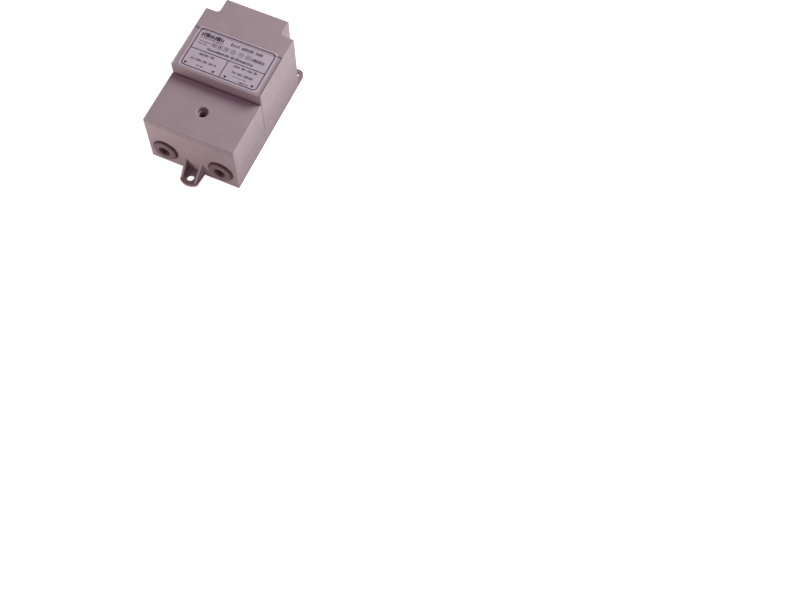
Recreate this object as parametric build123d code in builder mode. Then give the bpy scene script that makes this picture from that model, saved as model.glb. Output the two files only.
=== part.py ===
"""Enclosed safety transformer with a terminal compartment, two cable grommets and three fixing lugs.

Millimetres. The base stands on Z = 0 and +Z is up. The front wall, which holds the grommets, faces -Y.
The origin is the middle of the footprint, fixing lugs included.
"""

import os

from build123d import *

# Laminated core: scrapless E and I sheets, so every width of the sheet follows the outer leg's
outer_leg_width = 11.0
window_width = outer_leg_width
yoke_height = outer_leg_width
centre_leg = 2 * outer_leg_width
window_height = 3 * outer_leg_width
core_width = centre_leg + 2 * (window_width + outer_leg_width)
core_height = window_height + 2 * yoke_height
core_stack = 34.7
core_hole_radius = 2.2
core_hole_inset = outer_leg_width / 2

# Coil former on the centre leg, with one chamber for each winding
former_wall = 1.2
former_clearance = 0.3
former_overhang = 10.2
former_corner = 1.0
flange_corner = 3.0
flange_width = centre_leg + 2 * (window_width - former_clearance)
flange_length = core_stack + 2 * former_overhang

# Windings and the tape over them
winding_inset = 1.4
winding_corner = 6.0
winding_clearance = 0.1
tape_thickness = 0.4

# Housing walls and the room left round the transformer
wall = 2.5
top_wall = 3.0
side_room = 4.5
front_room = 16.8
rear_room = 4.7
coil_side_room = 4.0
coil_rear_room = 8.9
core_top_room = 0.7
edge_radius = 0.6
notch_radius = 3.2

# Base plate, let into the housing's lower rim
plate_thickness = 2.5
plate_recess = 0.3
plate_rebate = 1.2
plate_gap = 0.15
seat_rib_height = 1.2
seat_rib_width = 4.0
seat_rib_inset = 7.0

# Terminal compartment
compartment_length = 50.2
tray_side_height = 17.8
bench_height = 20.0
bench_depth = 14.2

# Terminal cover
cover_height = 51.4
cover_plate = 3.0
cover_gap = 0.15
cover_seam = 0.35
cover_rear_gap = 0.5
cover_rib_depth = 4.0
cover_rib_thickness = 1.5
cover_front_rib_length = 60.0
cover_tab_length = 14.0
cover_tab_depth = 5.0
cover_tab_thickness = 1.4
cover_tab_grip = 8.0
cover_tab_from_front = 19.0

# Cover screw, the stepped well it sits in and the pillar it bites into
cover_screw_from_front = 25.3
well_mouth_radius = 4.65
well_mouth_depth = 3.6
well_radius = 3.1
well_depth = 14.0
well_floor = 2.5
sleeve_wall = 1.6
pillar_radius = 4.6
pillar_foot_radius = 5.6
cover_screw_head_radius = 2.8
cover_screw_head_height = 2.4
cover_screw_radius = 1.75
cover_screw_length = 16.0

# Front lug with its two gussets, and the two rear lugs in the notches
lug_thickness = 3.0
front_lug_hole_radius = 3.2
front_lug_width = 17.0
front_lug_tip_width = 15.2
front_lug_reach = 15.5
front_lug_crown = 3.0
front_lug_hole_reach = 8.6
gusset_height = 14.8
gusset_thickness = 1.8
gusset_spread = 7.1
gusset_tip_spread = 6.2
rear_lug_reach = 12.6
rear_lug_hole_radius = 2.75
rear_lug_hole_reach = 7.0
rear_lug_corner = 5.0

# Label and its recess on the block's top: the label is longer than the recess and laps over its rear edge
recess_depth = 0.7
recess_length = 41.3
recess_rim = 1.0
recess_corner = 1.6
label_side_margin = 3.2
label_from_front = 2.1
label_overlap = 1.9
label_ramp = 1.5
label_thickness = 0.2
label_corner = 3.0

# Cable grommets in the front wall
grommet_spread = 25.0
grommet_height = 16.8
grommet_radius = 11.0
grommet_hole_radius = 5.2
grommet_lip = 2.5
grommet_lip_round = 2.3
grommet_mouth_round = 0.7
grommet_seat_radius = 8.5
grommet_back_radius = 10.2
grommet_back = 2.0
grommet_clearance = 0.05

# Cable clamps behind the grommets
clamp_from_front = 13.0
clamp_length = 23.0
clamp_width = 7.0
clamp_thickness = 5.0
clamp_arch_radius = 5.0
clamp_arch_rise = 2.2
clamp_screw_spread = 8.5
clamp_post_radius = 2.9
clamp_post_height = 14.0
anvil_width = 9.0
anvil_thickness = 3.0
anvil_height = 10.5
clamp_screw_radius = 1.5
clamp_screw_head_radius = 2.7
clamp_screw_head_height = 1.9
clamp_screw_length = 11.0

# Terminal blocks on the bench
pole_inner = 5.4
pole_outer = 29.8
pole_width = 9.6
block_depth = 11.0
block_rear_gap = 1.0
block_foot_height = 6.0
pole_height = 15.0
pole_floor = 2.0
pole_face = 1.4
clamp_cage_width = 6.0
clamp_cage_height = 8.6
cage_clearance = 0.1
wire_entry_radius = 2.2
wire_axis_height = 6.0
driver_hole_radius = 2.6
terminal_screw_radius = 1.5
terminal_screw_head_radius = 2.3
terminal_screw_head_height = 2.0
terminal_screw_stand = 0.6
terminal_screw_length = 4.0
block_screw_radius = 1.5
block_screw_head_radius = 2.7
block_screw_head_height = 2.0
block_screw_length = 12.0
bench_boss_radius = 3.2
bench_boss_depth = 8.0

# Solder tags, internal leads and thermal cut-out
tag_width = 2.4
tag_thickness = 0.8
tag_height = 6.0
tag_setback = 1.6
tag_inner = 8.0
tag_outer = 18.0
lead_radius = 1.1
lead_bend = 2.4
lead_hole_radius = 1.6
lead_run_gap = 3.3
lead_grip = 1.2
cutout_length = 13.0
cutout_height = 6.0
cutout_thickness = 2.6
cutout_centre = 13.0

# Fasteners of the base plate and the core
boss_radius = 3.2
boss_bite = 0.5
boss_height = 18.0
base_screw_radius = 1.5
base_screw_head_radius = 2.8
base_screw_head_depth = 1.5
base_screw_length = 12.0
pilot_clearance = 0.05
screw_clearance = 0.2
core_bolt_radius = 2.0
hex_across_flats = 7.0
bolt_head_height = 2.8
nut_height = 3.2
bolt_end = 1.2
rib_thickness = 2.0
rib_clearance = 0.2
side_rib_inset = 5.0
stop_rib_bite = 1.0

# Screw slots
slot_width = 0.7
slot_depth = 0.9

# Sizes and places worked out from the driving dimensions
body_width = core_width + 2 * (side_room + wall)
tongue_width = flange_width + 2 * (coil_side_room + wall)
block_length = wall + front_room + core_stack + rear_room + wall
tongue_length = former_overhang + coil_rear_room - rear_room
body_length = compartment_length + block_length + tongue_length
inner_width = body_width - 2 * wall

front_y = (front_lug_reach - body_length) / 2
step_y = front_y + compartment_length
shoulder_y = step_y + block_length
rear_y = shoulder_y + tongue_length
bench_y = step_y - bench_depth
core_front_y = step_y + wall + front_room
core_rear_y = core_front_y + core_stack
core_mid_y = (core_front_y + core_rear_y) / 2
former_front_y = core_front_y - former_overhang
cover_screw_y = front_y + cover_screw_from_front
clamp_y = front_y + clamp_from_front

plate_top = plate_recess + plate_thickness
core_bottom = plate_top + seat_rib_height
core_top = core_bottom + core_height
window_bottom = core_bottom + yoke_height
window_top = window_bottom + window_height
cavity_top = core_top + core_top_room
body_height = cavity_top + top_wall
recess_floor = body_height - recess_depth
front_wall_height = cover_height - cover_plate - cover_seam
cover_underside = cover_height - cover_plate
well_bottom = cover_height - well_depth
pillar_top = well_bottom - well_floor - cover_gap

pole_places = (-pole_outer, -pole_inner, pole_inner, pole_outer)
block_centre = (pole_inner + pole_outer) / 2
block_length_x = pole_outer - pole_inner + pole_width
block_rear_y = step_y - block_rear_gap
block_mid_y = block_rear_y - block_depth / 2
wire_z = bench_height + wire_axis_height
cage_depth = block_depth - 2 * pole_face
cage_floor = bench_height + pole_floor
cage_top = cage_floor + clamp_cage_height

former_bottom = window_bottom + former_clearance
former_top = window_top - former_clearance
chamber_height = (former_top - former_bottom - 3 * former_wall) / 2
former_mid = former_bottom + former_wall + chamber_height

boss_places = [
    (side * (half - wall - boss_radius + boss_bite), y)
    for half, y in (
        (body_width / 2, step_y + wall + boss_radius - boss_bite),
        (tongue_width / 2, rear_y - wall - boss_radius + boss_bite),
    )
    for side in (-1, 1)
]
core_hole_places = [
    (side * (core_width / 2 - core_hole_inset), z)
    for z in (core_bottom + core_hole_inset, core_top - core_hole_inset)
    for side in (-1, 1)
]
clamp_post_places = [
    (side * grommet_spread + hand * clamp_screw_spread, clamp_y) for side in (-1, 1) for hand in (-1, 1)
]
rib_rows = (core_front_y + side_rib_inset, core_rear_y - side_rib_inset)

UP_FROM_BASE = (Align.CENTER, Align.CENTER, Align.MIN)
DOWN_FROM_TOP = (Align.CENTER, Align.CENTER, Align.MAX)
FRONT_EDGE = (Align.CENTER, Align.MIN)


def block_plan(plan, inset, front, corner, notch):
    """Draws the transformer block's plan, set in from its outer face: a wide part and a tongue behind it."""
    half_wide = body_width / 2 - inset
    half_tongue = tongue_width / 2 - inset
    shoulder = shoulder_y - inset
    rear = rear_y - inset
    Polygon(
        (-half_wide, front),
        (half_wide, front),
        (half_wide, shoulder),
        (half_tongue, shoulder),
        (half_tongue, rear),
        (-half_tongue, rear),
        (-half_tongue, shoulder),
        (-half_wide, shoulder),
        align=None,
    )
    notch_corners = plan.vertices().group_by(Axis.Y)[1].sort_by(Axis.X)[1:3]
    fillet(notch_corners, notch)
    fillet(plan.vertices().group_by(Axis.Y)[-1], corner)
    outer_corners = plan.vertices().group_by(Axis.X)
    fillet(outer_corners[0] + outer_corners[-1], corner)


def slotted_screw(head_radius, head_height, shank_radius, shank_length):
    """Pan-headed screw whose head stands on the current place, with its shank below."""
    Cylinder(shank_radius, shank_length, align=DOWN_FROM_TOP)
    Cylinder(head_radius, head_height, align=UP_FROM_BASE)
    with Locations((0, 0, head_height)):
        Box(2 * head_radius + slot_width, slot_width, 2 * slot_depth, mode=Mode.SUBTRACT)


# Housing: transformer block, terminal tray, bench, fixing lugs and label recess in one moulding
with BuildPart() as housing:
    with BuildSketch() as block_outline:
        block_plan(block_outline, 0, step_y, edge_radius, notch_radius)
    extrude(amount=body_height)
    fillet(housing.faces().sort_by(Axis.Z)[-1].edges(), edge_radius)

    # Label recess, open at the block's front
    with BuildSketch(Plane.XY.offset(recess_floor)) as recess:
        with Locations((0, step_y - wall)):
            Rectangle(body_width - 2 * recess_rim, recess_length + wall, align=FRONT_EDGE)
        fillet(recess.vertices().group_by(Axis.Y)[-1], recess_corner)
    extrude(amount=2 * recess_depth, mode=Mode.SUBTRACT)
    recess_edges = housing.edges().filter_by(Axis.X).filter_by_position(Axis.Z, recess_floor, recess_floor)
    fillet(recess_edges.sort_by(Axis.Y)[0], edge_radius)

    # Terminal tray with low sides and a full-height front wall
    for depth, height in ((compartment_length + wall, tray_side_height), (wall, front_wall_height)):
        with BuildSketch() as tray_outline:
            with Locations((0, front_y)):
                Rectangle(body_width, depth, align=FRONT_EDGE)
            fillet(tray_outline.vertices().group_by(Axis.Y)[0], edge_radius)
        extrude(amount=height)
    with BuildSketch(Plane.XY.offset(wall)):
        with Locations((0, front_y + wall)):
            Rectangle(inner_width, compartment_length - wall, align=FRONT_EDGE)
    extrude(amount=tray_side_height, mode=Mode.SUBTRACT)

    # Front lug with a crowned end and a gusset along each side
    half_lug = front_lug_width / 2
    lug_run = front_lug_reach - front_lug_crown
    lug_left = (-front_lug_tip_width / 2, front_y - lug_run)
    lug_tip = (0, front_y - front_lug_reach)
    lug_right = (front_lug_tip_width / 2, front_y - lug_run)
    with BuildSketch():
        with BuildLine():
            Polyline(lug_right, (half_lug, front_y), (-half_lug, front_y), lug_left)
            ThreePointArc(lug_left, lug_tip, lug_right)
        make_face()
    extrude(amount=lug_thickness)
    for side in (-1, 1):
        toe_in = side * (gusset_tip_spread - gusset_spread)
        gusset_foot = (side * gusset_spread, front_y, 0)
        with BuildSketch(Plane(gusset_foot, x_dir=(toe_in, -lug_run, 0), z_dir=(-lug_run, -toe_in, 0))):
            Polygon(
                (-wall / 2, 0),
                (-wall / 2, gusset_height),
                (0, gusset_height),
                (lug_run, lug_thickness),
                (lug_run, 0),
                align=None,
            )
        extrude(amount=gusset_thickness / 2, both=True)

    # Rear lugs, each filling the foot of its notch
    half_tongue = tongue_width / 2
    rear_lug_width = body_width / 2 - half_tongue
    rear_lug_x = half_tongue + rear_lug_width / 2
    for side in (-1, 1):
        with BuildSketch() as rear_lug:
            with Locations((side * (rear_lug_x - wall / 4), shoulder_y - wall / 2)):
                Rectangle(rear_lug_width + wall / 2, rear_lug_reach + wall / 2, align=FRONT_EDGE)
            rear_corners = rear_lug.vertices().group_by(Axis.Y)[-1]
            fillet(rear_corners.sort_by(Axis.X, reverse=side < 0)[-1], rear_lug_corner)
        extrude(amount=lug_thickness)

    # Bench that carries the terminal blocks
    bench_width = inner_width - 2 * cover_gap
    for width, height in ((inner_width + wall, tray_side_height), (bench_width, bench_height)):
        with BuildSketch():
            with Locations((0, bench_y)):
                Rectangle(width, bench_depth + wall / 2, align=FRONT_EDGE)
        extrude(amount=height)

    # Transformer space, open below, running forward under the bench
    with BuildSketch() as cavity_outline:
        block_plan(cavity_outline, wall, step_y + wall, edge_radius, notch_radius + wall)
    extrude(amount=cavity_top, mode=Mode.SUBTRACT)
    with BuildSketch():
        with Locations((0, bench_y + wall)):
            Rectangle(inner_width, bench_depth + wall, align=FRONT_EDGE)
    extrude(amount=bench_height - wall, mode=Mode.SUBTRACT)
    with BuildSketch() as rebate_outline:
        block_plan(
            rebate_outline,
            wall - plate_rebate,
            bench_y + wall - plate_rebate,
            edge_radius,
            notch_radius + wall - plate_rebate,
        )
    extrude(amount=plate_top, mode=Mode.SUBTRACT)

    # Bosses for the base plate's screws
    with BuildSketch(Plane.XY.offset(plate_top)):
        with Locations(*boss_places):
            Circle(boss_radius)
    extrude(amount=boss_height)
    with BuildSketch(Plane.XY.offset(plate_top)):
        with Locations(*boss_places):
            Circle(base_screw_radius + pilot_clearance)
    extrude(amount=boss_height - wall, mode=Mode.SUBTRACT)

    # Ribs that hold the core: beside it, before and behind it, and over it
    side_rib_length = side_room - rib_clearance
    stop_rib_length = side_room + stop_rib_bite
    stop_rib_offset = rib_clearance + rib_thickness / 2
    stop_rows = (core_front_y - stop_rib_offset, core_rear_y + stop_rib_offset)
    for rows, length in ((rib_rows, side_rib_length), (stop_rows, stop_rib_length)):
        with BuildSketch(Plane.XY.offset(plate_top)):
            for side in (-1, 1):
                with Locations(*[(side * (inner_width - length + wall / 2) / 2, y) for y in rows]):
                    Rectangle(length + wall / 2, rib_thickness)
        extrude(amount=cavity_top - plate_top + top_wall / 2)
    with BuildSketch(Plane.XY.offset(core_top + rib_clearance)):
        with Locations(*[(0, y) for y in rib_rows]):
            Rectangle(core_width, rib_thickness)
    extrude(amount=core_top_room)

    # Holes in the partition for the leads, and bosses under the bench for the terminal blocks' screws
    with BuildSketch(Plane.XZ.offset(-step_y - wall - edge_radius)):
        with Locations(*[(x, wire_z) for x in pole_places]):
            Circle(lead_hole_radius)
    extrude(amount=wall + 2 * edge_radius, mode=Mode.SUBTRACT)
    with BuildSketch(Plane.XY.offset(bench_height - wall / 2)):
        with Locations((-block_centre, block_mid_y), (block_centre, block_mid_y)):
            Circle(bench_boss_radius)
    extrude(amount=-bench_boss_depth)
    with BuildSketch(Plane.XY.offset(bench_height)):
        with Locations((-block_centre, block_mid_y), (block_centre, block_mid_y)):
            Circle(block_screw_radius + pilot_clearance)
    extrude(amount=-bench_boss_depth, mode=Mode.SUBTRACT)

    # Pillar for the cover screw
    with Locations((0, cover_screw_y, wall)):
        Cone(pillar_foot_radius, pillar_radius, pillar_top - wall, align=UP_FROM_BASE)
    with Locations((0, cover_screw_y, pillar_top)):
        Cylinder(
            cover_screw_radius + pilot_clearance,
            cover_screw_length,
            align=DOWN_FROM_TOP,
            mode=Mode.SUBTRACT,
        )

    # Posts and anvils of the cable clamps
    with BuildSketch(Plane.XY.offset(wall)):
        with Locations(*clamp_post_places):
            Circle(clamp_post_radius)
    extrude(amount=clamp_post_height - wall)
    with BuildSketch(Plane.XY.offset(wall)):
        with Locations((-grommet_spread, clamp_y), (grommet_spread, clamp_y)):
            Rectangle(anvil_width, anvil_thickness)
    extrude(amount=anvil_height - wall)
    with BuildSketch(Plane.XY.offset(clamp_post_height)):
        with Locations(*clamp_post_places):
            Circle(clamp_screw_radius + pilot_clearance)
    extrude(amount=wall - clamp_post_height, mode=Mode.SUBTRACT)

    # Fixing holes, and the seats of the grommets
    rear_hole_y = shoulder_y + rear_lug_hole_reach
    with BuildSketch():
        with Locations((0, front_y - front_lug_hole_reach)):
            Circle(front_lug_hole_radius)
        with Locations((-rear_lug_x, rear_hole_y), (rear_lug_x, rear_hole_y)):
            Circle(rear_lug_hole_radius)
    extrude(amount=lug_thickness, mode=Mode.SUBTRACT)
    with BuildSketch(Plane.XZ.offset(-front_y)):
        with Locations((-grommet_spread, grommet_height), (grommet_spread, grommet_height)):
            Circle(grommet_seat_radius)
    extrude(amount=-wall, mode=Mode.SUBTRACT)
housing.part.label = "housing"

# Terminal cover: a plate with two cheeks, open at the front and back
with BuildPart() as terminal_cover:
    cover_length = compartment_length - cover_rear_gap
    with BuildSketch(Plane.XY.offset(tray_side_height + cover_seam)) as cover_outline:
        with Locations((0, front_y)):
            Rectangle(body_width, cover_length, align=FRONT_EDGE)
        fillet(cover_outline.vertices().group_by(Axis.Y)[0], edge_radius)
    extrude(amount=cover_height - tray_side_height - cover_seam)
    cover_faces = terminal_cover.faces().sort_by(Axis.Z)
    fillet(cover_faces[-1].edges() + cover_faces[0].edges().filter_by(Axis.Y), edge_radius)
    with BuildSketch():
        with Locations((0, front_y)):
            Rectangle(inner_width, 2 * compartment_length, align=FRONT_EDGE)
        with Locations((0, front_y - wall)):
            Rectangle(2 * body_width, 2 * wall + cover_gap, align=FRONT_EDGE)
    extrude(amount=cover_underside, mode=Mode.SUBTRACT)

    # Locating tabs inside the tray's sides, and a rib behind the front wall
    tab_outer = inner_width / 2 - cover_gap
    tab_inner = tab_outer - cover_tab_thickness
    tab_foot = tray_side_height - cover_tab_depth
    tab_head = tray_side_height + cover_tab_grip
    tab_mid_y = front_y + cover_tab_from_front + cover_tab_length / 2
    for side in (-1, 1):
        with BuildSketch(Plane.XZ.offset(-tab_mid_y)):
            Polygon(
                (side * tab_inner, tab_foot),
                (side * tab_outer, tab_foot),
                (side * tab_outer, tray_side_height + cover_seam),
                (side * (inner_width + wall) / 2, tray_side_height + cover_seam),
                (side * (inner_width + wall) / 2, tab_head),
                (side * tab_inner, tab_head),
                align=None,
            )
        extrude(amount=cover_tab_length / 2, both=True)
    with BuildSketch(Plane.XY.offset(cover_underside + cover_plate / 2)):
        with Locations((0, front_y + wall + cover_gap)):
            Rectangle(cover_front_rib_length, cover_rib_thickness, align=FRONT_EDGE)
        with Locations((0, cover_screw_y)):
            Rectangle(inner_width + wall, cover_rib_thickness)
    extrude(amount=-cover_rib_depth - cover_plate / 2)

    # Stepped screw well with its sleeve
    with Locations((0, cover_screw_y, well_bottom - well_floor)):
        Cone(
            well_radius + sleeve_wall,
            well_mouth_radius + sleeve_wall,
            well_depth + well_floor - cover_plate / 2,
            align=UP_FROM_BASE,
        )
    with Locations((0, cover_screw_y, cover_height)):
        Cylinder(well_mouth_radius, well_mouth_depth, align=DOWN_FROM_TOP, mode=Mode.SUBTRACT)
        Cylinder(well_radius, well_depth, align=DOWN_FROM_TOP, mode=Mode.SUBTRACT)
        Cylinder(
            cover_screw_radius + screw_clearance,
            well_depth + 2 * well_floor,
            align=DOWN_FROM_TOP,
            mode=Mode.SUBTRACT,
        )
    mouth_edge = terminal_cover.edges().filter_by(GeomType.CIRCLE).group_by(Axis.Z)[-1]
    fillet(mouth_edge, edge_radius)
terminal_cover.part.label = "terminal_cover"

# Cover screw, at the bottom of the well
with BuildPart() as cover_screw:
    with Locations((0, cover_screw_y, well_bottom)):
        slotted_screw(
            cover_screw_head_radius,
            cover_screw_head_height,
            cover_screw_radius,
            cover_screw_length,
        )
cover_screw.part.label = "cover_screw"

# Rating label: a film that lies in the recess and climbs over its rear edge
with BuildPart() as rating_label:
    label_width = body_width - 2 * (recess_rim + label_side_margin)
    label_front_y = step_y + label_from_front
    recess_rear_y = step_y + recess_length
    label_rear_y = recess_rear_y + label_overlap
    film_foot = (
        (label_front_y, recess_floor),
        (recess_rear_y - label_ramp, recess_floor),
        (recess_rear_y, body_height),
        (label_rear_y, body_height),
    )
    with BuildSketch(Plane.YZ):
        Polygon(*film_foot, *[(y, z + label_thickness) for y, z in reversed(film_foot)], align=None)
    extrude(amount=label_width / 2, both=True)
    with BuildSketch():
        with Locations((0, label_front_y)):
            RectangleRounded(label_width, label_rear_y - label_front_y, label_corner, align=FRONT_EDGE)
    extrude(amount=body_height + 2 * label_thickness, mode=Mode.INTERSECT)
rating_label.part.label = "rating_label"

# Cable grommets: a lip outside the wall, a neck in its hole and a flange behind it
grommets = []
for hand, side in (("left", -1), ("right", 1)):
    with BuildPart() as grommet:
        axis_point = (side * grommet_spread, front_y, grommet_height)
        with BuildSketch(Plane(axis_point, x_dir=(1, 0, 0), z_dir=(0, 0, 1))) as section:
            neck_end = wall + grommet_clearance
            Polygon(
                (grommet_hole_radius, -grommet_lip),
                (grommet_radius, -grommet_lip),
                (grommet_radius, 0),
                (grommet_seat_radius - grommet_clearance, 0),
                (grommet_seat_radius - grommet_clearance, neck_end),
                (grommet_back_radius, neck_end),
                (grommet_back_radius, neck_end + grommet_back),
                (grommet_hole_radius, neck_end + grommet_back),
                align=None,
            )
            lip_corners = section.vertices().group_by(Axis.Y)[0].sort_by(Axis.X)
            fillet(lip_corners[-1], grommet_lip_round)
            fillet(lip_corners[0], grommet_mouth_round)
        revolve(axis=Axis(axis_point, (0, 1, 0)))
    grommet.part.label = f"grommet_{hand}"
    grommets.append(grommet.part)

# Base plate, with ribs that the core stands on
with BuildPart() as base_plate:
    plate_inset = wall - plate_rebate + plate_gap
    with BuildSketch(Plane.XY.offset(plate_recess)) as plate_outline:
        block_plan(
            plate_outline,
            plate_inset,
            bench_y + plate_inset,
            edge_radius,
            notch_radius + plate_inset,
        )
    extrude(amount=plate_thickness)
    with BuildSketch(Plane.XY.offset(plate_top)):
        with Locations((0, core_front_y + seat_rib_inset), (0, core_rear_y - seat_rib_inset)):
            Rectangle(core_width, seat_rib_width)
    extrude(amount=seat_rib_height)
    with Locations(*[Location((x, y, plate_recess), (180, 0, 0)) for x, y in boss_places]):
        CounterSinkHole(
            base_screw_radius + screw_clearance,
            base_screw_head_radius + screw_clearance,
            depth=plate_thickness,
        )
base_plate.part.label = "base_plate"

# Countersunk screws of the base plate
with BuildPart() as base_screws:
    for x, y in boss_places:
        with Locations((x, y, plate_recess)):
            Cylinder(base_screw_radius, base_screw_length, align=UP_FROM_BASE)
            Cone(base_screw_head_radius, base_screw_radius, base_screw_head_depth, align=UP_FROM_BASE)
        with Locations((x, y, plate_recess)):
            Box(2 * base_screw_head_radius + slot_width, slot_width, slot_depth, mode=Mode.SUBTRACT)
base_screws.part.label = "base_screws"

# E sheets: back below, three legs up
with BuildPart() as core_e_sheets:
    with BuildSketch(Plane.XZ.offset(-core_front_y)):
        with Locations((0, core_bottom)):
            Rectangle(core_width, core_height - yoke_height, align=FRONT_EDGE)
        window_centre = (centre_leg + window_width) / 2
        with Locations((-window_centre, window_bottom), (window_centre, window_bottom)):
            Rectangle(window_width, window_height, align=FRONT_EDGE, mode=Mode.SUBTRACT)
        with Locations(*core_hole_places[:2]):
            Circle(core_hole_radius, mode=Mode.SUBTRACT)
    extrude(amount=-core_stack)
core_e_sheets.part.label = "core_e_sheets"

# I sheets, closing the legs
with BuildPart() as core_i_sheets:
    with BuildSketch(Plane.XZ.offset(-core_front_y)):
        with Locations((0, window_top)):
            Rectangle(core_width, yoke_height, align=FRONT_EDGE)
        with Locations(*core_hole_places[2:]):
            Circle(core_hole_radius, mode=Mode.SUBTRACT)
    extrude(amount=-core_stack)
core_i_sheets.part.label = "core_i_sheets"

# Core bolts from the rear, nuts in front
with BuildPart() as core_bolts:
    bolt_length = core_stack + nut_height + bolt_end
    with BuildSketch(Plane.XZ.offset(-core_rear_y)):
        with Locations(*core_hole_places):
            Circle(core_bolt_radius)
    extrude(amount=bolt_length)
    with BuildSketch(Plane.XZ.offset(-core_rear_y)):
        with Locations(*core_hole_places):
            RegularPolygon(hex_across_flats / 2, 6, major_radius=False)
    extrude(amount=-bolt_head_height)
core_bolts.part.label = "core_bolts"

with BuildPart() as core_nuts:
    with BuildSketch(Plane.XZ.offset(-core_front_y)):
        with Locations(*core_hole_places):
            RegularPolygon(hex_across_flats / 2, 6, major_radius=False)
            Circle(core_bolt_radius + pilot_clearance, mode=Mode.SUBTRACT)
    extrude(amount=nut_height)
core_nuts.part.label = "core_nuts"

# Coil former: a tube round the centre leg with three flanges
tube_width = centre_leg + 2 * (former_clearance + former_wall)
tube_length = core_stack + 2 * (former_clearance + former_wall)
with BuildPart() as coil_former:
    with BuildSketch(Plane.XY.offset(former_bottom)):
        with Locations((0, core_mid_y)):
            RectangleRounded(tube_width, tube_length, former_corner)
    extrude(amount=former_top - former_bottom)
    for flange_z in (former_bottom, former_mid, former_top - former_wall):
        with BuildSketch(Plane.XY.offset(flange_z)):
            with Locations((0, core_mid_y)):
                RectangleRounded(flange_width, flange_length, flange_corner)
        extrude(amount=former_wall)
    with BuildSketch(Plane.XY.offset(former_bottom)):
        with Locations((0, core_mid_y)):
            Rectangle(centre_leg + 2 * former_clearance, core_stack + 2 * former_clearance)
    extrude(amount=former_top - former_bottom, mode=Mode.SUBTRACT)
coil_former.part.label = "coil_former"

# Windings fill the chambers, secondary below and primary above, each with a tape wrap
winding_width = flange_width - 2 * winding_inset
winding_length = flange_length - 2 * winding_inset
coil_parts = []
for winding, chamber_bottom in (
    ("secondary", former_bottom + former_wall),
    ("primary", former_mid + former_wall),
):
    with BuildPart() as coil:
        with BuildSketch(Plane.XY.offset(chamber_bottom + winding_clearance)):
            with Locations((0, core_mid_y)):
                RectangleRounded(winding_width, winding_length, winding_corner)
                Rectangle(
                    tube_width + 2 * winding_clearance,
                    tube_length + 2 * winding_clearance,
                    mode=Mode.SUBTRACT,
                )
        extrude(amount=chamber_height - 2 * winding_clearance)
    coil.part.label = f"{winding}_winding"
    with BuildPart() as wrap:
        with BuildSketch(Plane.XY.offset(chamber_bottom + winding_clearance)):
            with Locations((0, core_mid_y)):
                RectangleRounded(
                    winding_width + 2 * tape_thickness,
                    winding_length + 2 * tape_thickness,
                    winding_corner + tape_thickness,
                )
                RectangleRounded(winding_width, winding_length, winding_corner, mode=Mode.SUBTRACT)
        extrude(amount=chamber_height - 2 * winding_clearance)
    wrap.part.label = f"{winding}_tape"
    coil_parts += [coil.part, wrap.part]

# Thermal cut-out against the primary winding's tape
with BuildPart() as thermal_cutout:
    tape_front_y = core_mid_y - winding_length / 2 - tape_thickness
    with BuildSketch(Plane.XZ.offset(-tape_front_y)):
        with Locations((cutout_centre, former_mid + former_wall + chamber_height / 2)):
            Rectangle(cutout_length, cutout_height)
    extrude(amount=cutout_thickness)
thermal_cutout.part.label = "thermal_cutout"

# Solder tags: the primary's stand on the upper flange, the secondary's hang under the lower one
tag_y = former_front_y + tag_setback
with BuildPart() as solder_tags:
    with Locations((-tag_outer, tag_y, former_top), (-tag_inner, tag_y, former_top)):
        Box(tag_width, tag_thickness, tag_height, align=UP_FROM_BASE)
    with Locations((tag_inner, tag_y, former_bottom), (tag_outer, tag_y, former_bottom)):
        Box(tag_width, tag_thickness, tag_height, align=DOWN_FROM_TOP)
solder_tags.part.label = "solder_tags"

# Leads from the tags, down or up to the partition's holes and into the terminal clamps
lead_start_y = tag_y - tag_thickness / 2
lead_run_y = former_front_y - lead_run_gap
lead_end_y = block_mid_y + cage_depth / 2 - lead_grip
lead_parts = []
for winding, side, tag_z in (
    ("primary", -1, former_top + tag_height / 2),
    ("secondary", 1, former_bottom - tag_height / 2),
):
    with BuildPart() as leads:
        for tag, pole in ((tag_inner, pole_inner), (tag_outer, pole_outer)):
            with BuildLine() as route:
                FilletPolyline(
                    (side * tag, lead_start_y, tag_z),
                    (side * tag, lead_run_y, tag_z),
                    (side * pole, lead_run_y, wire_z),
                    (side * pole, lead_end_y, wire_z),
                    radius=lead_bend,
                )
            with BuildSketch(Plane(route.line @ 0, z_dir=route.line % 0)):
                Circle(lead_radius)
            sweep(path=route.line)
    leads.part.label = f"{winding}_leads"
    lead_parts.append(leads.part)

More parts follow.
